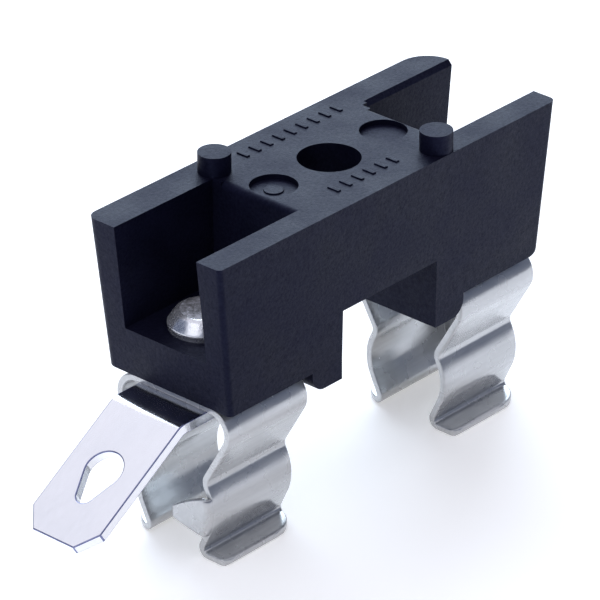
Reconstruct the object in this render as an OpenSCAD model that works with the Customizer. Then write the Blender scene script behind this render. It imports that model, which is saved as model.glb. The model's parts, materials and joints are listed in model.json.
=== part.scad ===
// Cartridge fuse holder for a 6.3 x 32 mm fuse: a moulded base, two spring clips,
// two terminals and two rivets. The mounting face is up, at z = 0, and the clips hang below.
// X runs along the fuse, and the origin is the mounting hole's centre on the mounting face.

/* [Base] */
// Length of the base at its mounting face
base_l = 34.8; // [32:0.1:40]
// Width of the base at its mounting face
base_w = 12.3; // [11.5:0.1:14]
// Height of the base, without its feet
base_h = 11.7; // [11:0.1:14]
// How far each end leans in over the height
end_draft = 1.25; // [0:0.05:1.5]
// How far each side leans in over the height
side_draft = 0.33; // [0:0.01:0.4]
// Thickness of the wall on the +Y side
wall_thick = 2.65; // [2:0.05:2.8]
// Thickness of the wall on the -Y side
wall_thin = 2.1; // [1.6:0.05:2.4]
// Length of the solid deck between the pockets
deck_l = 15.4; // [14:0.1:16]
// Depth of the end pockets
pocket_d = 8; // [7:0.1:8.5]
// Diameter of the mounting hole
hole_d = 4.5; // [3.5:0.1:5]

/* [Locating pegs and recesses] */
// Diameter of each peg
peg_d = 2.35; // [2:0.05:2.6]
// Height of each peg
peg_h = 1.5; // [1:0.1:2]
// Place of the first peg
peg_1 = [-6.75, 4.48];
// Place of the second peg
peg_2 = [5.85, -4.67];
// Diameter of the two round recesses
recess_d = 3.4; // [3:0.1:3.6]
// Depth of the recesses
recess_h = 0.4; // [0.2:0.1:0.8]
// Distance of each recess from the mounting hole
recess_x = 5.65; // [5:0.05:5.7]

/* [Feet] */
// Distance from the middle to a foot's inner face
foot_in = 4.9; // [4.5:0.1:5.5]
// Thickness of each foot
foot_t = 3; // [2.5:0.1:3.2]
// How far the feet reach below the base
foot_h = 1.6; // [1:0.1:1.8]

/* [Clips] */
// Radius of the clip's grip on the fuse cap
grip_r = 3.25; // [3.2:0.01:3.3]
// Thickness of the spring sheet
sheet = 0.5; // [0.4:0.05:0.55]
// Length of a clip along the fuse
clip_l = 7.9; // [7:0.1:8]
// Depth of the fuse's axis below the mounting face
fuse_z = 20; // [19.8:0.1:20.5]
// Half the width of the clip's flat base
clip_flat = 3.25; // [3.2:0.01:3.3]
// Reach of each lip from the middle
lip_y = 4.7; // [4.6:0.1:5.2]

/* [Terminals and rivets] */
// Thickness of the terminals
lug_t = 0.8; // [0.6:0.05:0.9]
// Width of the solder lug
lug_w = 6.3; // [5:0.1:6.4]
// Length of the solder lug beyond its bend
lug_l = 10.6; // [9.6:0.1:12]
// Slope of the solder lug below the horizontal
lug_angle = 32; // [20:1:45]
// Width of the straight-down tab
tab_w = 4; // [3.4:0.1:5]
// Length of the straight-down tab below its bend
tab_l = 8.4; // [7:0.1:10]
// Diameter of the rivet shanks
rivet_d = 3; // [2.5:0.1:3.2]
// Diameter of the rivet heads
rivet_head_d = 5; // [4.5:0.1:5.4]

/* [Hidden] */
$fn = 64;

// Base
half_l = base_l / 2;
half_w = base_w / 2;
end_foot_x = half_l - end_draft;      // end of the base at its underside
end_lean = atan(end_draft / base_h);
slab = 0.01;                          // thickness of the block's top and bottom outlines
corner_r = [0.9, 0.4, 0.6, 2.3];      // -X+Y, -X-Y, +X-Y and +X+Y corners, in plan
far_edge_r = 1.3;                     // round on the +X end's lower edge
deck_edge_r = 0.5;                    // round on the deck's two end edges
deck_edge_stop = 0.8;                 // the rounds stop this far from the +Y wall
pocket_w = base_w - wall_thin - wall_thick;
base_y = (wall_thick - wall_thin) / 2; // the block's middle: its pockets lie at y = 0
top_chamfer = 0.35;                   // on the +X pocket's +Y edge
foot_r = 1.2;                         // round on each foot's outer lower edge
foot_out = foot_in + foot_t;
peg_root = 0.6;                       // how far the pegs reach into the deck

// Stack under the base: clip, then terminal, then the rivet's closed head
clip_x1 = 16;                         // clip's outer end, where a 32 mm fuse ends
clip_x0 = clip_x1 - clip_l;           // clip's inner end
root_gap = 0.08;                      // between the bridge and a leaf
root_drop = 0.05;                     // a leaf's top lies this far below the base
lug_top = -base_h - sheet;
rivet_x = 12.8;
rivet_clear = 0.05;
head_r = rivet_head_d / 2;
head_h = 1.4;
head_taper = 0.4;                     // how far the head's side leans in
head_round = 0.45;
tail_h = 0.8;
tail_round = 0.35;

// Leaf: one line of arcs and straights down the middle of the sheet, seen along X
shoulder_r = 1.55;                    // arc at the top of the leaf
waist_r = 0.9;                        // arc between shoulder and grip
heel_r = 0.5;                         // arc between the lower straight and the lip
lean = 30;                            // slope of the straight below the shoulder
heel_turn = 25;                       // slope of the straight between grip and heel
lip_z = -fuse_z - 3.55;               // middle of the lip's sheet
root_strip = 0.12;                    // flat stretch before the shoulder
spare = 0.12;                         // left inside the grip for its round cut
grip_lead = 6;                        // degrees of waist and heel left to the grip's cut
mid_r = grip_r + sheet / 2;
top_z = -base_h - root_drop - sheet / 2;
shoulder_c = [clip_flat + root_gap + root_strip, top_z - shoulder_r];
line_0 = shoulder_c + shoulder_r * [cos(lean), -sin(lean)];
waist_reach = mid_r + waist_r;
// The waist touches both the straight and the grip: solve for the angle where they meet
waist_turn = acos((waist_r + line_0[0] * cos(lean) - (line_0[1] + fuse_z) * sin(lean))
                  / waist_reach) - lean;
waist_c = [waist_reach * cos(waist_turn), -fuse_z + waist_reach * sin(waist_turn)];
// The lower straight touches both the grip and the heel's arc
heel_c = [(mid_r + heel_r + (lip_z + heel_r + fuse_z) * sin(heel_turn)) / cos(heel_turn),
          lip_z + heel_r];
lip_round = 2.6;                      // large round on one of the lip's corners, in plan
lip_nick = 0.5;                       // small round on its other corner

// End stop: an ear bent in from the leaf's outer end
ear_top = -fuse_z + 1.1;
ear_low = -fuse_z - 1.7;
ear_tip_y = 0.3;

// Terminals
seat_x0 = rivet_x - 2.6;              // terminals' inner end
lug_bend_x = 17.95;                   // where the solder lug's bend starts
lug_bend_r = 0.8;                     // inside radius of that bend
lug_tip = [1.6, 1.25];                // chamfer along and across the lug's tip
eye_wide = [4.7, 1.45];               // eye's wide end: place along the blade, and radius
eye_narrow = [6.8, 0.7];              // eye's narrow end
tab_bend_x = clip_x1 + 0.35;
tab_bend_r = 0.35;
tab_tip = [1, 0.9];
tab_eye = [tab_l - 2.6, 0.8];

// Points on an arc about c, from angle a0 to a1
function arc(c, r, a0, a1) =
    let (n = max(2, ceil(abs(a1 - a0) / 6)))
    [for (i = [0 : n]) c + r * [cos(a0 + (a1 - a0) * i / n), sin(a0 + (a1 - a0) * i / n)]];

// An oblong seen from above, with the base's four corner rounds
module rounded_plan(hx, hy) {
    spots = [[-1, 1], [-1, -1], [1, -1], [1, 1]];
    difference() {
        square([2 * hx, 2 * hy], center = true);
        for (i = [0 : 3])
            translate([spots[i][0] * hx, spots[i][1] * hy])
                scale([-spots[i][0], -spots[i][1]])
                    corner_waste(corner_r[i]);
    }
}

// What rounding takes off a corner whose point is the origin and whose sides run to +X and +Y
module corner_waste(r) {
    difference() {
        translate([-1, -1]) square(r + 1);
        translate([r, r]) circle(r);
    }
}

// Side view, extruded across the width
module across(w) {
    rotate([90, 0, 0]) linear_extrude(w, center = true) children();
}

// The solid block, leaning in on all four sides, and its two feet
module base_blank() {
    foot_half_w = half_w - side_draft;
    translate([0, base_y, 0]) {
        hull() {
            translate([0, 0, -slab]) linear_extrude(slab) rounded_plan(half_l, half_w, $fn = 32);
            translate([0, 0, -base_h]) linear_extrude(slab)
                rounded_plan(end_foot_x, foot_half_w, $fn = 32);
        }
        for (s = [0, 1]) mirror([s, 0, 0]) across(2 * foot_half_w) foot_view();
    }
}

module foot_view() {
    difference() {
        translate([foot_in, -base_h - foot_h]) square([foot_t, foot_h + 1]);
        translate([foot_out, -base_h - foot_h]) scale([-1, 1]) corner_waste(foot_r);
    }
}

// What the +X end's lower round takes off; the end leans by end_lean from upright
module far_edge_waste() {
    centre = [end_foot_x - far_edge_r * (1 - sin(end_lean)) / cos(end_lean),
              far_edge_r - base_h];
    polygon(concat([[centre[0], -base_h - 1]],
                   arc(centre, far_edge_r + 0.01, -90, -end_lean),
                   [centre + (far_edge_r + 1) * [cos(end_lean), -sin(end_lean)],
                    [end_foot_x + 2, -base_h - 1]]));
}

module base() {
    color([0.13, 0.15, 0.2]) {
        base_cut();
        for (p = [peg_1, peg_2]) translate([p[0], p[1], 0]) {
            cylinder(h = peg_h, d = peg_d);
            translate([0, 0, -peg_root]) cylinder(h = peg_h + peg_root, d = peg_d - 0.3);
        }
    }
}

module base_cut() {
    difference() {
        base_blank();
        // end pockets between the two walls, and the rounds on the deck's edges
        for (s = [0, 1]) mirror([s, 0, 0]) {
            across(pocket_w) translate([deck_l / 2, -pocket_d]) square([half_l, pocket_d + 1]);
            translate([0, -deck_edge_stop / 2, 0]) across(pocket_w - deck_edge_stop)
                translate([deck_l / 2, 0]) scale([-1, -1]) corner_waste(deck_edge_r);
        }
        translate([-foot_in, -half_w - 1, -base_h - foot_h - 1])
            cube([2 * foot_in, base_w + 2, base_h + foot_h + 1 - pocket_d]);
        across(base_w + 2) far_edge_waste();
        // chamfer along the +X pocket's +Y edge
        translate([deck_l / 2 + deck_edge_r, pocket_w / 2, 0]) rotate([45, 0, 0])
            translate([0, -top_chamfer / sqrt(2), -top_chamfer / sqrt(2)])
                cube([half_l, top_chamfer * sqrt(2), top_chamfer * sqrt(2)]);
        translate([0, 0, -pocket_d - 1]) cylinder(h = pocket_d + 2, d = hole_d);
        for (s = [-1, 1]) {
            translate([s * recess_x, 0, -recess_h]) cylinder(h = recess_h + 1, d = recess_d);
            translate([s * rivet_x, 0, -base_h - 1])
                cylinder(h = base_h, d = rivet_d + 2 * rivet_clear);
        }
    }
}

// The flat part of a clip, under the base
module clip_bridge() {
    difference() {
        translate([clip_x0, -clip_flat, -base_h - sheet]) cube([clip_l, 2 * clip_flat, sheet]);
        translate([rivet_x, 0, -base_h - 1]) cylinder(h = 2, d = rivet_d + 2 * rivet_clear);
    }
}

// A sprung side of a clip on +Y: from the root, round the shoulder, to the lip
module leaf(stop) {
    difference() {
        union() {
            leaf_run();
            if (stop) ear();
        }
        lip_corner(clip_x0, stop ? lip_round : lip_nick);
        lip_corner(clip_x1, stop ? lip_nick : lip_round);
        // the true round grip
        translate([clip_x0 - 1, 0, -fuse_z]) rotate([0, 90, 0])
            cylinder(h = clip_l + 1, r = grip_r, $fn = 96);
    }
}

// The bent sheet: its grip is left a little thick inside, for the round cut
module leaf_run() {
    half = sheet / 2;
    outer = concat(
        arc(shoulder_c, shoulder_r + half, 90, -lean),
        arc(waist_c, waist_r - half, 180 - lean, 180 + waist_turn),
        arc([0, -fuse_z], mid_r + half, waist_turn, -heel_turn),
        arc(heel_c, heel_r - half, 180 - heel_turn, 270),
        [[lip_y, lip_z + half]]);
    inner = concat(
        arc(shoulder_c, shoulder_r - half, 90, -lean),
        arc(waist_c, waist_r + half, 180 - lean, 180 + waist_turn - grip_lead),
        arc([0, -fuse_z], grip_r - spare, waist_turn - 2, -heel_turn + 2),
        arc(heel_c, heel_r + half, 180 - heel_turn + grip_lead, 270),
        [[lip_y, lip_z - half]]);
    root_y = clip_flat + root_gap;
    translate([clip_x0, 0, 0]) rotate([90, 0, 90]) linear_extrude(clip_l)
        polygon(concat([[root_y, top_z - half], [root_y, top_z + half]], outer,
                       [for (i = [len(inner) - 1 : -1 : 0]) inner[i]]));
}

// What rounds off the lip's corner at x, seen from above
module lip_corner(x, r) {
    translate([x, lip_y, lip_z - 1]) linear_extrude(heel_r + 1)
        scale([x == clip_x0 ? 1 : -1, -1]) difference() {
            translate([-1, -1]) square(r + 1);
            translate([r, r]) circle(r + 0.02);
        }
}

// The ear that stops the fuse's end, and the band of sheet that it bends from
module ear() {
    inner_top = mid_r * cos(18) - sheet / 2;
    inner_low = mid_r * cos(28) - sheet / 2;
    translate([clip_x1, 0, 0]) rotate([90, 0, 90]) linear_extrude(sheet)
        polygon([[inner_top, ear_top], [ear_tip_y + 0.3, ear_top - 1.5],
                 [ear_tip_y, ear_top - 1.9], [ear_tip_y, ear_low + 0.3],
                 [ear_tip_y + 0.3, ear_low], [inner_low, ear_low],
                 [mid_r + sheet / 2, ear_low + 0.2], [mid_r + sheet / 2, ear_top]]);
}

// End a is at -X with its stop on -Y; end b is the same clip turned half a turn
module at_end(a) {
    if (a) rotate([0, 0, 180]) children();
    else children();
}

// The flat seat that both terminals have, held under the clip by the rivet
module terminal_seat(w, x1) {
    difference() {
        translate([seat_x0, -w / 2, lug_top - lug_t]) cube([x1 - seat_x0, w, lug_t]);
        translate([rivet_x, 0, lug_top - 1]) cylinder(h = 2, d = rivet_d + 2 * rivet_clear);
    }
}

// A sheet w wide bent down by angle, from x, with inside radius r
module bend(x, w, r, angle) {
    far = 3 * (r + lug_t);
    translate([x, 0, lug_top - lug_t - r]) rotate([90, 0, 0])
        linear_extrude(w, center = true)
            intersection() {
                difference() {
                    circle(r + lug_t);
                    circle(r);
                }
                polygon([[0, 0], [0, far], [far * sin(angle), far],
                         [far * sin(angle), far * cos(angle)]]);
            }
}

// Moves a blade drawn flat, along X from the bend's end, to where the bend leaves it
module past_bend(x, r, angle) {
    translate([x, 0, lug_top - lug_t - r]) rotate([0, angle, 0])
        translate([0, 0, r]) linear_extrude(lug_t) children();
}

module blade_plan(l, w, tip) {
    polygon([[0, -w / 2], [l - tip[0], -w / 2], [l, -w / 2 + tip[1]],
             [l, w / 2 - tip[1]], [l - tip[0], w / 2], [0, w / 2]]);
}

// The eye in the solder lug: two round ends and their common tangents
module egg_eye() {
    open = acos((eye_wide[1] - eye_narrow[1]) / (eye_narrow[0] - eye_wide[0]));
    polygon(concat(arc([eye_wide[0], 0], eye_wide[1], open, 360 - open),
                   arc([eye_narrow[0], 0], eye_narrow[1], -open, open)));
}

module solder_lug_body() {
    terminal_seat(lug_w, lug_bend_x);
    bend(lug_bend_x, lug_w, lug_bend_r, lug_angle);
    past_bend(lug_bend_x, lug_bend_r, lug_angle) difference() {
        blade_plan(lug_l, lug_w, lug_tip);
        egg_eye();
    }
}

module tab_terminal_body() {
    terminal_seat(tab_w, tab_bend_x);
    bend(tab_bend_x, tab_w, tab_bend_r, 90);
    past_bend(tab_bend_x, tab_bend_r, 90) difference() {
        blade_plan(tab_l, tab_w, tab_tip);
        translate([tab_eye[0], 0]) circle(tab_eye[1]);
    }
}

// Rivet: a flat-topped head on the pocket floor and a closed head under the terminal
module rivet() {
    seat_z = lug_top - lug_t;
    tail_z = seat_z - tail_h;
    tail_r = head_r - head_taper;
    translate([rivet_x, 0, 0]) rotate_extrude()
        polygon(concat(
            [[0, tail_z]],
            arc([tail_r - tail_round, tail_z + tail_round], tail_round, -90, 0),
            [[tail_r, seat_z], [rivet_d / 2, seat_z], [rivet_d / 2, -pocket_d], [head_r, -pocket_d]],
            arc([head_r - head_round, -pocket_d + head_round], head_round, 0, 30),
            arc([head_r - head_taper - head_round, head_h - pocket_d - head_round],
                head_round, 30, 90),
            [[0, head_h - pocket_d]]));
}

silver = [0.83, 0.84, 0.87];

module clip_a_bridge() { color(silver) at_end(true) clip_bridge(); }
module clip_a_stop_leaf() { color(silver) at_end(true) leaf(true); }
module clip_a_plain_leaf() { color(silver) at_end(true) mirror([0, 1, 0]) leaf(false); }
module clip_b_bridge() { color(silver) at_end(false) clip_bridge(); }
module clip_b_stop_leaf() { color(silver) at_end(false) leaf(true); }
module clip_b_plain_leaf() { color(silver) at_end(false) mirror([0, 1, 0]) leaf(false); }
module solder_lug() { color([0.92, 0.93, 0.96]) at_end(true) solder_lug_body(); }
module tab_terminal() { color([0.92, 0.93, 0.96]) at_end(false) tab_terminal_body(); }
module rivet_a() { color([0.78, 0.79, 0.82]) at_end(true) rivet(); }
module rivet_b() { color([0.78, 0.79, 0.82]) at_end(false) rivet(); }

base();
clip_a_bridge();
clip_a_stop_leaf();
clip_a_plain_leaf();
clip_b_bridge();
clip_b_stop_leaf();
clip_b_plain_leaf();
solder_lug();
tab_terminal();
rivet_a();
rivet_b();
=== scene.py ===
"""Looks of the cartridge fuse holder: a dark moulded base, two plated spring clips,
a solder lug, a tab terminal and two rivets, on a pale floor under soft light.

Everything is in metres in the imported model's frame: +Z out of the mounting face, X along the
fuse, with end a (the solder lug's end) at -X and end b at +X."""
import json
import math

import bmesh
import bpy
from mathutils import Matrix, Vector


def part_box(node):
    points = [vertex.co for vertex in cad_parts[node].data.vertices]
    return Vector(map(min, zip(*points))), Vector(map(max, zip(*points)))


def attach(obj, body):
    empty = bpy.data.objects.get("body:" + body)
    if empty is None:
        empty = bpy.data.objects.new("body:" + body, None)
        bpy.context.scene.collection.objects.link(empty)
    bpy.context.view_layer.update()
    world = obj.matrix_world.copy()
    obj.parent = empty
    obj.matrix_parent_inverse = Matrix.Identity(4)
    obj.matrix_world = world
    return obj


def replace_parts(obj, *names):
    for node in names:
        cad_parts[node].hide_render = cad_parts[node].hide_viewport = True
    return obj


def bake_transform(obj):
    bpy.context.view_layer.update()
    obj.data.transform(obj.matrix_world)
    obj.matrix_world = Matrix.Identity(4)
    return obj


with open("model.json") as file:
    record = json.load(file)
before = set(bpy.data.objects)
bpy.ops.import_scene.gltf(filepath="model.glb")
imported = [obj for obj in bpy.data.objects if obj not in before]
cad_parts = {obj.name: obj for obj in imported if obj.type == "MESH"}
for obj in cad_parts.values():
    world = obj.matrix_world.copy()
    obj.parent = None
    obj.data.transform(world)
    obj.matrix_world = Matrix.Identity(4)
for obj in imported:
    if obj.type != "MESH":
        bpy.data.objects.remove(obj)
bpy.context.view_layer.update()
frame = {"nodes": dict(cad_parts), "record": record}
MM = 0.001
QUARTER = math.pi / 2                 # a quarter turn


# ---------------------------------------------------------------- sizes from the frame

BRIDGE_LO, BRIDGE_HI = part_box("clip_b_bridge")
LEAF_LO, LEAF_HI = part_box("clip_b_plain_leaf")
RIVET_LO, RIVET_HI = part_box("rivet_b")
GRIP = next(m for m in frame["record"]["mounts"] if m["name"] == "fuse_grip_b")

SHEET = BRIDGE_HI.z - BRIDGE_LO.z
BRIDGE_Z = (BRIDGE_HI.z + BRIDGE_LO.z) / 2
BRIDGE_HALF = BRIDGE_HI.y
CLIP_X0, CLIP_X1 = LEAF_LO.x, LEAF_HI.x
LIP_Z = LEAF_LO.z + SHEET / 2
FUSE_Z = GRIP["pos_m"][2]
GRIP_R = GRIP["dims"]["r_mm"] * MM + SHEET / 2
RIVET_X = (RIVET_LO.x + RIVET_HI.x) / 2
FLOOR_Z = LEAF_LO.z - 0.02 * MM       # just clear of the lips, so no faces coincide


# ---------------------------------------------------------------- sizes as in the CAD

# Along a leaf, down the middle of its sheet
SHOULDER_R = 1.55 * MM
WAIST_R = 0.9 * MM
HEEL_R = 0.5 * MM
LEAN = math.radians(30)               # slope of the sheet below the shoulder
HEEL_TURN = math.radians(25)          # slope of the straight below the grip
ROOT_FLAT = 0.2 * MM                  # a leaf runs on flat this far past its bridge
ROOT_DROP = 0.05 * MM                 # a leaf starts this far below its bridge
LIP_Y = 4.7 * MM
LIP_ROUND, LIP_NICK = 2.6 * MM, 0.5 * MM   # the lip's two corners

# The stop ear on one leaf of each clip
EAR_THICK = SHEET * 0.9
EAR_TOP = FUSE_Z + 1.1 * MM
EAR_LOW = FUSE_Z - 1.75 * MM
EAR_TIP_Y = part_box("clip_b_stop_leaf")[0].y
EAR_TIP_Z = FUSE_Z - 1.0 * MM

HEAD_H = 1.4 * MM                     # a rivet's head, above its pocket's floor
SHANK_R = 1.5 * MM
CLIP_HOLE_R = 1.55 * MM
LUG_THICK = 0.8 * MM
LUG_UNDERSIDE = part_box("solder_lug")[1].z - LUG_THICK


# ---------------------------------------------------------------- fineness of the meshes

EDGE_ROUND = 0.4                      # a clip's edge rounding, as a share of half its thickness
ACROSS = 10                           # divisions along a clip's length
TIP_LENGTH = 0.12 * MM                # the last of the lip, which is thinner
TIP_THICK = 0.62                      # its thickness there, as a share of the sheet's
WELD = 0.001 * MM                     # CAD corners this close are one
FLAT_WITHIN = math.radians(0.6)       # CAD facets this close to one plane are one face


# ---------------------------------------------------------------- materials


class Shader:
    """A small helper around one material's node tree."""

    def __init__(self, name):
        self.material = bpy.data.materials.new(name)
        self.material.use_nodes = True
        self.tree = self.material.node_tree
        self.surface = self.tree.nodes["Principled BSDF"]
        self.coords = self.node("ShaderNodeTexCoord").outputs["Object"]

    def node(self, kind, **values):
        """A new node; each value sets the input of that name, or else the setting."""
        made = self.tree.nodes.new(kind)
        for name, value in values.items():
            if name in made.inputs:
                made.inputs[name].default_value = value
            else:
                setattr(made, name, value)
        return made

    def link(self, start, end):
        self.tree.links.new(start, end)

    def set(self, **values):
        """Sets inputs of the surface shader, with _ for each space in a name."""
        for name, value in values.items():
            self.surface.inputs[name.replace("_", " ")].default_value = value

    def noise(self, per_metre, detail=2.0, roughness=0.5):
        """Noise with this many cells a metre, all ways or along X, Y and Z."""
        scale = per_metre if isinstance(per_metre, tuple) else (per_metre,) * 3
        mapping = self.node("ShaderNodeMapping")
        mapping.inputs["Scale"].default_value = scale
        self.link(self.coords, mapping.inputs["Vector"])
        made = self.node("ShaderNodeTexNoise", Scale=1.0, Detail=detail, Roughness=roughness)
        self.link(mapping.outputs["Vector"], made.inputs["Vector"])
        return made.outputs["Fac"]

    def ramp(self, value, low, high):
        """A colour ramp over value; low and high are each (position, colour)."""
        made = self.node("ShaderNodeValToRGB")
        for element, (place, colour) in zip(made.color_ramp.elements, (low, high)):
            element.position = place
            element.color = (*colour, 1)
        self.link(value, made.inputs["Fac"])
        return made.outputs["Color"]

    def remap(self, value, low, high):
        """Spreads noise, which lies mostly from 0.3 to 0.7, over low to high."""
        made = self.node("ShaderNodeMapRange")
        made.inputs["From Min"].default_value = 0.3
        made.inputs["From Max"].default_value = 0.7
        made.inputs["To Min"].default_value = low
        made.inputs["To Max"].default_value = high
        self.link(value, made.inputs["Value"])
        return made.outputs["Result"]

    def add(self, first, second):
        made = self.node("ShaderNodeMath", operation="ADD")
        self.link(first, made.inputs[0])
        self.link(second, made.inputs[1])
        return made.outputs["Value"]

    def bump(self, height, strength, distance):
        made = self.node("ShaderNodeBump", Strength=strength, Distance=distance)
        self.link(height, made.inputs["Height"])
        self.link(made.outputs["Normal"], self.surface.inputs["Normal"])

    def finish(self, colour, roughness):
        """Links the surface's colour and roughness."""
        self.link(colour, self.surface.inputs["Base Color"])
        self.link(roughness, self.surface.inputs["Roughness"])
        return self.material


def darker(tint, share):
    return tuple(share * part for part in tint)


def moulded_plastic():
    """Blue-black thermoset: a sandy grain, faint flow marks and patches of more gloss."""
    shader = Shader("black_plastic")
    shader.set(Specular_Tint=(0.42, 0.52, 1.0, 1))
    cloud = shader.noise(260, 4.0)
    grain = shader.noise(4200, 4.0, 0.7)
    shader.link(shader.remap(grain, 0.09, 0.25), shader.surface.inputs["Specular IOR Level"])
    shader.bump(shader.add(grain, shader.noise(1300, 3.0)), 0.7, 0.03 * MM)
    colour = shader.ramp(cloud, (0.3, (0.003, 0.003, 0.009)), (0.7, (0.006, 0.006, 0.017)))
    return shader.finish(colour, shader.remap(cloud, 0.46, 0.58))


def plated_sheet(name, tint, rough, streak, metallic):
    """Bright tin plate: faint rolling streaks along X, and a cloudy change of gloss."""
    shader = Shader(name)
    shader.set(Metallic=metallic)
    lines = shader.noise((70, 2600, 2600), 3.0, 0.6)
    cloud = shader.noise(420, 3.0)
    shader.bump(shader.add(lines, cloud), 0.25, 0.01 * MM)
    colour = shader.ramp(lines, (0.25, darker(tint, 1 - streak)), (0.75, tint))
    return shader.finish(colour, shader.remap(cloud, rough * 0.75, rough * 1.3))


def rivet_metal(name, tint, size, shade, rough):
    """Plated rivet metal: cloudy where its grain's size is large, sandy where it is small."""
    shader = Shader(name)
    shader.set(Metallic=0.8)
    grain = shader.noise(1 / size, 3.0, 0.7)
    shader.bump(grain, 1 - shade, size / 5)
    colour = shader.ramp(grain, (0.35, darker(tint, shade)), (0.65, tint))
    return shader.finish(colour, shader.remap(grain, rough * 0.7, rough * 1.3))


PLASTIC = moulded_plastic()
SPRING = plated_sheet("plated_spring", (0.57, 0.575, 0.58), 0.25, 0.16, 0.66)
LUG = plated_sheet("plated_lug", (0.93, 0.94, 0.98), 0.15, 0.03, 1.0)
# Painted reflection on the lug's and the tab's rounded edges: dark blue stands in for the dark
# they mirror, so they show as dark lines
PAINTED_EDGE_REFLECTION = plated_sheet("painted_edge_reflection", (0.26, 0.28, 0.46), 0.30, 0.30, 1.0)
RIVET_SIDE = rivet_metal("rivet_side", (0.86, 0.87, 0.92), 1.4 * MM, 0.78, 0.25)
RIVET_TOP = rivet_metal("rivet_top", (0.92, 0.92, 1.0), 0.24 * MM, 0.35, 0.42)


# ---------------------------------------------------------------- mesh helpers


def add_object(name, mesh, *materials):
    made = bpy.data.objects.new(name, mesh)
    bpy.context.scene.collection.objects.link(made)
    for material in materials:
        made.data.materials.append(material)
    return made


def mesh_from(name, work):
    """A mesh of this name from a bmesh, which is freed."""
    mesh = bpy.data.meshes.new(name)
    work.to_mesh(mesh)
    work.free()
    return mesh


def bake(piece):
    """Turns a piece's modifiers into its mesh."""
    bpy.context.view_layer.update()
    shape = piece.evaluated_get(bpy.context.evaluated_depsgraph_get())
    mesh = bpy.data.meshes.new_from_object(shape)
    piece.modifiers.clear()
    piece.data = mesh
    return piece


def smooth_below(piece, degrees):
    """Smooth shading, with the edges sharper than degrees left hard."""
    mesh = piece.data
    mesh.shade_smooth()
    work = bmesh.new()
    work.from_mesh(mesh)
    for edge in work.edges:
        edge.smooth = len(edge.link_faces) == 2 and edge.calc_face_angle() < math.radians(degrees)
    work.to_mesh(mesh)
    work.free()


def soften(piece, width, segments=3, degrees=32, edge_slot=-1):
    """Rounds the edges sharper than degrees; edge_slot is the round's material slot."""
    bevel = piece.modifiers.new("edges", "BEVEL")
    bevel.width = width
    bevel.segments = segments
    bevel.limit_method = "ANGLE"
    bevel.angle_limit = math.radians(degrees)
    bevel.harden_normals = True
    bevel.miter_outer = "MITER_ARC"
    bevel.use_clamp_overlap = True
    bevel.material = edge_slot
    return bake(piece)


def join(piece, other):
    """Adds another object's mesh to piece and removes that object."""
    work = bmesh.new()
    work.from_mesh(piece.data)
    work.from_mesh(other.data)
    work.to_mesh(piece.data)
    work.free()
    bpy.data.objects.remove(other)


def cad_shape(name, node, material, width, edge=None):
    """A piece with a CAD node's shape, its flat faces joined and its edges rounded.

    The rounded edges may have a material of their own."""
    mesh = frame["nodes"][node].data.copy()
    work = bmesh.new()
    work.from_mesh(mesh)
    bmesh.ops.remove_doubles(work, verts=work.verts, dist=WELD)
    bmesh.ops.dissolve_limit(work, angle_limit=FLAT_WITHIN, verts=work.verts,
                             edges=work.edges, delimit={"NORMAL"})
    work.to_mesh(mesh)
    work.free()
    mesh.materials.clear()
    if mesh.has_custom_normals:
        mesh.attributes.remove(mesh.attributes["custom_normal"])
    piece = add_object(name, mesh, material, edge or material)
    mesh.shade_smooth()
    soften(piece, width, edge_slot=1)
    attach(piece, "holder")
    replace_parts(piece, node)
    return piece


def arc(centre, radius, start, end, steps):
    """Points round a centre in a plane; the angles are in radians."""
    angles = [start + (end - start) * i / steps for i in range(steps + 1)]
    return [Vector((centre[0] + radius * math.cos(angle), centre[1] + radius * math.sin(angle)))
            for angle in angles]


# ---------------------------------------------------------------- base


def make_base():
    piece = cad_shape("base_moulding", "base", PLASTIC, 0.09 * MM)


def raised_bar(work, x, y):
    """A small moulded bar standing on the deck, a little wider at its foot."""
    half_x, half_y, height, buried = 0.15 * MM, 0.5 * MM, 0.1 * MM, 0.05 * MM
    foot, foot_y = 1.25, 1.0625
    corners = [(-1, -1), (1, -1), (1, 1), (-1, 1)]
    rings = [[work.verts.new((x + i * half_x * wide, y + j * half_y * long, z))
              for i, j in corners]
             for wide, long, z in ((foot, foot_y, -buried), (1.0, 1.0, height))]
    for k in range(4):
        work.faces.new([rings[0][k], rings[0][(k + 1) % 4], rings[1][(k + 1) % 4], rings[1][k]])
    work.faces.new(rings[1])
    work.faces.new(rings[0][::-1])


def make_marks():
    """Plain raised bars on the deck, and a plain disc in one recess."""
    pitch = 1.2 * MM
    work = bmesh.new()
    for first, count, y in ((-3.6 * MM, 9, 4.7 * MM), (-3.4 * MM, 6, -3.5 * MM)):
        for i in range(count):
            raised_bar(work, first + pitch * i, y)
    bmesh.ops.create_cone(work, cap_ends=True, segments=40, radius1=0.75 * MM,
                          radius2=0.7 * MM, depth=0.24 * MM,
                          matrix=Matrix.Translation((-5.65 * MM, 0, -0.42 * MM)))
    piece = add_object("deck_marks", mesh_from("deck_marks", work), PLASTIC)
    soften(piece, 0.05 * MM, 2)
    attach(piece, "holder")


# ---------------------------------------------------------------- clips


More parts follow.
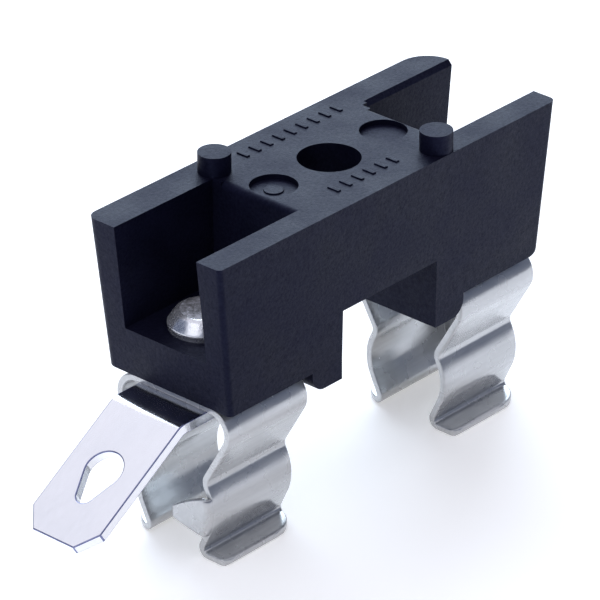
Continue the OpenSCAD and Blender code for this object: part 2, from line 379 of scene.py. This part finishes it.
def leaf_line():
    """The middle of the sheet from the bridge's middle to the lip, as points (y, z)."""
    shoulder = Vector((BRIDGE_HALF + ROOT_FLAT, BRIDGE_Z - ROOT_DROP - SHOULDER_R))
    slope_top = shoulder + SHOULDER_R * Vector((math.cos(LEAN), -math.sin(LEAN)))
    reach = GRIP_R + WAIST_R
    waist_turn = math.acos((WAIST_R + slope_top.x * math.cos(LEAN)
                            - (slope_top.y - FUSE_Z) * math.sin(LEAN)) / reach) - LEAN
    waist = Vector((reach * math.cos(waist_turn), FUSE_Z + reach * math.sin(waist_turn)))
    heel_z = LIP_Z + HEEL_R
    heel = Vector(((GRIP_R + HEEL_R + (heel_z - FUSE_Z) * math.sin(HEEL_TURN))
                   / math.cos(HEEL_TURN), heel_z))
    line = [Vector((shoulder.x * i / 10, BRIDGE_Z)) for i in range(10)]
    line += arc(shoulder, SHOULDER_R, QUARTER, -LEAN, 18)
    line += arc(waist, WAIST_R, math.pi - LEAN, math.pi + waist_turn, 10)
    line += arc((0, FUSE_Z), GRIP_R, waist_turn, -HEEL_TURN, 18)[1:]
    straight_end = heel - HEEL_R * Vector((math.cos(HEEL_TURN), -math.sin(HEEL_TURN)))
    line += [line[-1].lerp(straight_end, i / 6) for i in range(1, 6)]
    line += arc(heel, HEEL_R, math.pi - HEEL_TURN, 3 * QUARTER, 12)
    lip = line[-1]
    return line + [Vector((lip.x + (LIP_Y - lip.x) * i / 12, lip.y)) for i in range(1, 13)]


def sheet_ring(middle, normal, x0, x1, thick):
    """One cross-section of the sheet: an oblong from x0 to x1, with its corners rounded."""
    half = thick / 2
    round_r = half * EDGE_ROUND
    long_side = x1 - x0 - 2 * round_r
    corners = [(x1 - round_r, half - round_r), (x0 + round_r, half - round_r),
               (x0 + round_r, round_r - half), (x1 - round_r, round_r - half)]
    ring = []
    for quarter, (x, out) in enumerate(corners):
        ring += arc((x, out), round_r, QUARTER * quarter, QUARTER * (quarter + 1), 3)
        if quarter in (0, 2):
            way = quarter - 1
            ring += [(x + way * long_side * i / ACROSS, out - way * round_r)
                     for i in range(1, ACROSS)]
    return [Vector((x, middle.x + out * normal.x, middle.y + out * normal.y))
            for x, out in ring]


def corner_inset(left, radius):
    """How far a round corner stands in from the sheet's end, left before its tip."""
    return radius - math.sqrt(radius ** 2 - max(radius - left, 0) ** 2)


def bent_sheet(name, line, inner_round, outer_round):
    """A strip of sheet bent along line, with its two corners rounded at the far end."""
    lengths = [0.0]
    for start, end in zip(line, line[1:]):
        lengths.append(lengths[-1] + (end - start).length)
    rings = []
    for i, middle in enumerate(line):
        ahead = line[min(i + 1, len(line) - 1)] - line[max(i - 1, 0)]
        left = lengths[-1] - lengths[i]
        rings.append(sheet_ring(middle, Vector((-ahead.y, ahead.x)).normalized(),
                                CLIP_X0 + corner_inset(left, inner_round),
                                CLIP_X1 - corner_inset(left, outer_round),
                                SHEET * (1 if left > TIP_LENGTH else TIP_THICK)))
    count = len(rings[0])
    verts = [vert for ring in rings for vert in ring]
    faces = [(base + k, base + (k + 1) % count, base + count + (k + 1) % count, base + count + k)
             for base in range(0, len(verts) - count, count) for k in range(count)]
    faces.append(tuple(range(count - 1, -1, -1)))
    faces.append(tuple(range(len(verts) - count, len(verts))))
    mesh = bpy.data.meshes.new(name)
    mesh.from_pydata(verts, [], faces)
    mesh.validate()
    return add_object(name, mesh, SPRING)


def cut_round_hole(piece, x, radius):
    """Drills upright through the bridge at x, with a cutter that isn't kept."""
    work = bmesh.new()
    bmesh.ops.create_cone(work, cap_ends=True, segments=48, radius1=radius, radius2=radius,
                          depth=4 * SHEET, matrix=Matrix.Translation((x, 0, BRIDGE_Z)))
    cutter = add_object("cutter", mesh_from("cutter", work))
    cut = piece.modifiers.new("hole", "BOOLEAN")
    cut.object = cutter
    cut.operation = "DIFFERENCE"
    cut.solver = "EXACT"
    bake(piece)
    bpy.data.objects.remove(cutter)


def ear_point(share, grip_y):
    """A point (x, y) of the ear: on the grip, round its bend, then straight to its tip."""
    root_end, bend_end = 0.2, 0.5
    root_length, bend_r = 0.6 * MM, EAR_THICK / 2 + 0.08 * MM
    if share < root_end:
        return CLIP_X1 - root_length * (1 - share / root_end), grip_y
    if share < bend_end:
        angle = (share - root_end) / (bend_end - root_end) * QUARTER
        return CLIP_X1 + bend_r * math.sin(angle), grip_y - bend_r * (1 - math.cos(angle))
    done = (share - bend_end) / (1 - bend_end)
    return CLIP_X1 + bend_r, (grip_y - bend_r) * (1 - done) + EAR_TIP_Y * done


def narrowed(z, y):
    """A height on the ear, drawn in towards the tip's own height as the ear narrows."""
    wide_y, narrowing, curve = 3 * MM, 0.68, 1.3
    reach = max(0.0, min(1.0, (wide_y - y) / (wide_y - EAR_TIP_Y)))
    return EAR_TIP_Z + (z - EAR_TIP_Z) * (1 - narrowing * reach ** curve)


def ear_plate():
    """The stop: a tongue of the grip's end, bent in across the fuse's end."""
    up, along = 12, 22
    verts = []
    for j in range(up + 1):
        height = EAR_LOW + (EAR_TOP - EAR_LOW) * j / up
        grip_y = math.sqrt(GRIP_R ** 2 - (height - FUSE_Z) ** 2)
        for i in range(along + 1):
            x, y = ear_point(i / along, grip_y)
            verts.append((x, y, narrowed(height, y)))
    row = along + 1
    faces = [(a, a + 1, a + row + 1, a + row)
             for a in (j * row + i for j in range(up) for i in range(along))]
    mesh = bpy.data.meshes.new("ear")
    mesh.from_pydata(verts, [], faces)
    ear = add_object("ear", mesh)
    thick = ear.modifiers.new("thickness", "SOLIDIFY")
    thick.thickness = EAR_THICK
    thick.offset = 0
    bake(ear)
    return soften(ear, 0.08 * MM, 2, 50)


def half_clip(end, kind):
    """One side of a clip, from the middle of its bridge to its lip, as one bent sheet.

    It is made as end b's stop side, then mirrored for a plain side and turned for end a."""
    is_plain, at_a = kind == "plain", end == "a"
    rounds = (LIP_NICK, LIP_ROUND) if is_plain else (LIP_ROUND, LIP_NICK)
    piece = bent_sheet(f"clip_{end}_{kind}_side", leaf_line(), *rounds)
    cut_round_hole(piece, RIVET_X, CLIP_HOLE_R)
    if is_plain:
        piece.data.transform(Matrix.Scale(-1, 4, (0, 1, 0)))
        piece.data.flip_normals()
    else:
        join(piece, ear_plate())
    if at_a:
        piece.data.transform(Matrix.Rotation(math.pi, 4, "Z"))
    smooth_below(piece, 40)
    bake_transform(piece)
    return piece


def make_clips():
    for end in ("a", "b"):
        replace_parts(half_clip(end, "stop"), f"clip_{end}_stop_leaf", f"clip_{end}_bridge")
        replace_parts(half_clip(end, "plain"), f"clip_{end}_plain_leaf")


# ---------------------------------------------------------------- terminals and rivets


def make_terminals():
    # The rounded edges of both blades get the painted dark edge reflection.
    lug = cad_shape("solder_lug_blade", "solder_lug", LUG, 0.2 * MM, PAINTED_EDGE_REFLECTION)
    tab = cad_shape("tab_terminal_blade", "tab_terminal", LUG, 0.1 * MM, PAINTED_EDGE_REFLECTION)


def closed_head():
    """The rivet's lower head as points (radius, z): a dish, a round rim, and up to the lug."""
    low = RIVET_LO.z
    tail_r, rim_r = RIVET_HI.y - 0.42 * MM, 0.38 * MM
    dish_share, dish_depth, steps = 0.62, 0.12 * MM, 8
    dish = [Vector((tail_r * dish_share * i / steps, low + dish_depth * (1 - (i / steps) ** 2)))
            for i in range(steps)]
    rim = arc((tail_r - rim_r, low + rim_r), rim_r, -QUARTER, 0, 8)
    return dish + [Vector((tail_r - 0.4 * MM, low))] + rim + [Vector((tail_r, LUG_UNDERSIDE))]


def flat_head():
    """The rivet's upper head as points (radius, z): a round edge, a cone and a round rim."""
    head_r, top = RIVET_HI.y, RIVET_HI.z
    floor_z = top - HEAD_H
    edge_r, rim_r = 0.35 * MM, 0.48 * MM
    edge = arc((head_r - edge_r, floor_z + 0.4 * MM), edge_r, -0.6, 0.45, 8)
    rim = arc((head_r - 0.88 * MM, top - rim_r), rim_r, 0.55, QUARTER, 10)
    return [Vector((SHANK_R, floor_z)), Vector((head_r - 0.06 * MM, floor_z))] + edge + rim


def close_top(work, rim, x):
    """Closes the head inside its rim with a slightly hollow, uneven top."""
    hollow, uneven, lobes = 0.03 * MM, 0.4, 3
    around = len(rim)
    last = rim
    for share in (0.94, 0.8, 0.55, 0.3):
        inner = []
        for k, vert in enumerate(rim):
            wave = 1 + uneven * math.sin(lobes * k * 2 * math.pi / around)
            inner.append(work.verts.new((x + (vert.co.x - x) * share, vert.co.y * share,
                                         RIVET_HI.z - hollow * (1 - share) * wave)))
        for k in range(around):
            after = (k + 1) % around
            face = work.faces.new([last[k], last[after], inner[after], inner[k]])
            face.material_index = 1
        last = inner
    work.faces.new(last).material_index = 1


def make_rivet(end, x):
    """A rivet: its half section turned round, with a sandy top."""
    outline = closed_head() + [Vector((SHANK_R, LUG_UNDERSIDE))] + flat_head()
    around = 72
    angles = [2 * math.pi * k / around for k in range(around)]
    work = bmesh.new()
    rings = [[work.verts.new((x, 0, outline[0].y))] * around]
    for point in outline[1:]:
        rings.append([work.verts.new((x + point.x * math.cos(angle), point.x * math.sin(angle),
                                      point.y)) for angle in angles])
    for low, high in zip(rings, rings[1:]):
        for k in range(around):
            after = (k + 1) % around
            corners = [low[k], low[after], high[after], high[k]]
            work.faces.new([v for n, v in enumerate(corners) if v not in corners[:n]])
    close_top(work, rings[-1], x)
    bmesh.ops.recalc_face_normals(work, faces=work.faces)
    name = f"rivet_{end}_body"
    piece = add_object(name, mesh_from(name, work), RIVET_SIDE, RIVET_TOP)
    smooth_below(piece, 50)
    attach(piece, "holder")
    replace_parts(piece, f"rivet_{end}")


# ---------------------------------------------------------------- floor, light, camera


def make_floor():
    size = 1.5
    corners = [(-size, -size), (size, -size), (size, size), (-size, size)]
    mesh = bpy.data.meshes.new("floor")
    mesh.from_pydata([(x, y, FLOOR_Z) for x, y in corners], [], [(0, 1, 2, 3)])
    shader = Shader("floor_white")
    shader.set(Roughness=0.85, Base_Color=(0.93, 0.93, 0.94, 1),
               Emission_Color=(1.0, 0.99, 0.97, 1), Emission_Strength=0.36)
    shader.bump(shader.noise(300), 0.02, 0.02 * MM)
    add_object("floor", mesh, shader.material)


def area_light(name, place, size, power, colour=(1, 1, 1)):
    """A square soft light at place, aimed at the part's middle."""
    data = bpy.data.lights.new(name, "AREA")
    data.size = size
    data.energy = power
    data.color = colour
    light = bpy.data.objects.new(name, data)
    light.location = place
    aim = Vector((0, 0, -12 * MM)) - light.location
    light.rotation_euler = aim.to_track_quat("-Z", "Y").to_euler()
    bpy.context.scene.collection.objects.link(light)


def make_world():
    """A dark blue room up to a bright ceiling: bent metal mirrors it as soft bands."""
    world = bpy.data.worlds.new("studio")
    world.use_nodes = True
    tree = world.node_tree
    split = tree.nodes.new("ShaderNodeSeparateXYZ")
    tree.links.new(tree.nodes.new("ShaderNodeTexCoord").outputs["Generated"],
                   split.inputs["Vector"])
    ramp = tree.nodes.new("ShaderNodeValToRGB")
    stops = ramp.color_ramp.elements
    stops[0].position, stops[0].color = 0.52, (0.08, 0.11, 0.19, 1)
    stops[1].position, stops[1].color = 0.78, (0.91, 0.91, 1.0, 1)
    tree.links.new(split.outputs["Z"], ramp.inputs["Fac"])
    tree.links.new(ramp.outputs["Color"], tree.nodes["Background"].inputs["Color"])
    tree.nodes["Background"].inputs["Strength"].default_value = 1.0
    bpy.context.scene.world = world


def make_light():
    area_light("back", (0.27, 0.34, 0.27), 0.46, 2.9, (0.76, 0.88, 1.0))
    area_light("left", (-0.42, -0.05, 0.22), 0.30, 0.35)


def make_camera():
    azimuth, elevation, roll = (math.radians(angle) for angle in (47.75, 28.03, -0.32))
    distance = 0.3498
    target = Vector((-0.00845, -0.00490, -0.006))
    forward = Vector((math.sin(azimuth) * math.cos(elevation),
                      math.cos(azimuth) * math.cos(elevation), -math.sin(elevation)))
    flat_right = forward.cross(Vector((0, 0, 1))).normalized()
    flat_up = flat_right.cross(forward)
    right = math.cos(roll) * flat_right + math.sin(roll) * flat_up
    up = -math.sin(roll) * flat_right + math.cos(roll) * flat_up
    data = bpy.data.cameras.new("camera")
    data.sensor_width = 36
    data.lens = 310.38
    data.clip_start, data.clip_end = 0.01, 10
    camera = bpy.data.objects.new("camera", data)
    turn = Matrix((right, up, -forward)).transposed().to_4x4()
    camera.matrix_world = Matrix.Translation(target - forward * distance) @ turn
    bpy.context.scene.collection.objects.link(camera)
    bpy.context.scene.camera = camera


# ---------------------------------------------------------------- build

make_camera()
make_world()
make_light()
make_floor()
make_base()
make_marks()
make_clips()
make_terminals()
make_rivet("a", -RIVET_X)
make_rivet("b", RIVET_X)
bpy.context.scene.view_settings.view_transform = "Standard"
